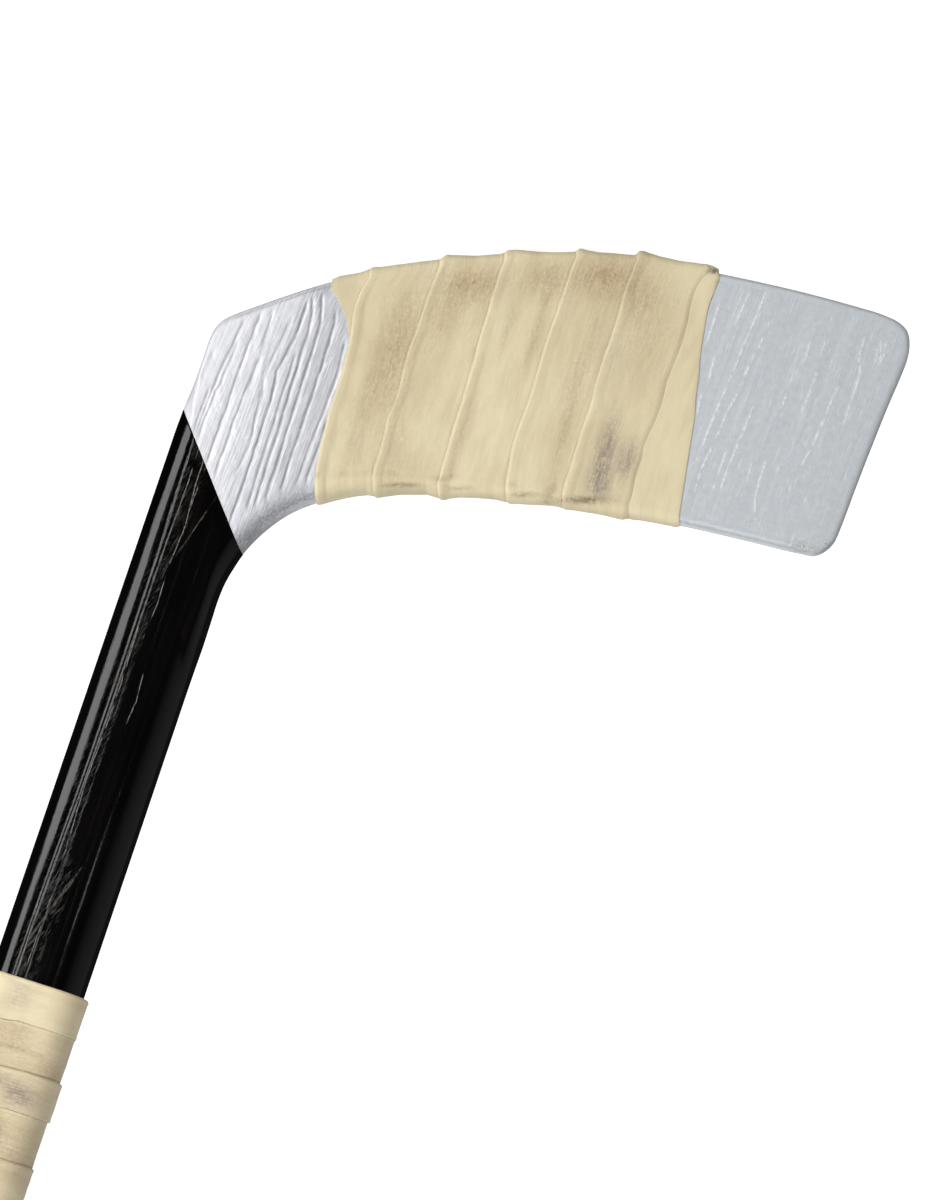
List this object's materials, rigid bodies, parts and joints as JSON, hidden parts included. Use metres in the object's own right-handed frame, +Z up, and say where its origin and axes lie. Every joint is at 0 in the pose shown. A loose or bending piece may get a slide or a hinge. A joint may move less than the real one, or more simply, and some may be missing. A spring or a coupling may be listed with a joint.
{
  "type": "ice hockey stick",
  "caption": "Full-size one-piece wooden ice hockey stick: black lacquered shaft, silver painted heel and curved blade, cream cloth tape on the blade, lower shaft and grip.",
  "frame": {"origin": "lowest point of the taped sole, where the blade rests on the ice, on the centre plane of the shaft", "axes": "+Z up with the stick in its playing position, -X towards the toe, +X towards the heel and the way the shaft leans, -Y towards the blade face that bulges (the toe bends away towards +Y)"},
  "size_m": [0.6457, 0.032, 1.356],
  "materials": {
    "aspen": "sawn and glued",
    "ash_shaft": "planed, glued, lacquered where it shows",
    "ash_blade": "sanded, glued",
    "black_lacquer": "gloss black over grained fibreglass",
    "silver_paint": "satin silver over grained fibreglass",
    "cloth_tape": "aged cream cotton cloth tape"
  },
  "bodies": {
    "root": {"shaft_core_ply": "aspen", "shaft_ply_near": "ash_shaft", "shaft_ply_far": "ash_shaft", "shaft_glass_near": "black_lacquer", "shaft_glass_far": "black_lacquer", "blade_slat_lower": "ash_blade", "blade_slat_mid": "ash_blade", "blade_slat_upper": "ash_blade", "heel_cheek_near": "ash_blade", "heel_cheek_far": "ash_blade", "blade_sleeve": "silver_paint", "blade_tape": "cloth_tape", "shaft_tape": "cloth_tape", "grip_tape": "cloth_tape", "grip_knob": "cloth_tape"}
  },
  "joints": []
}
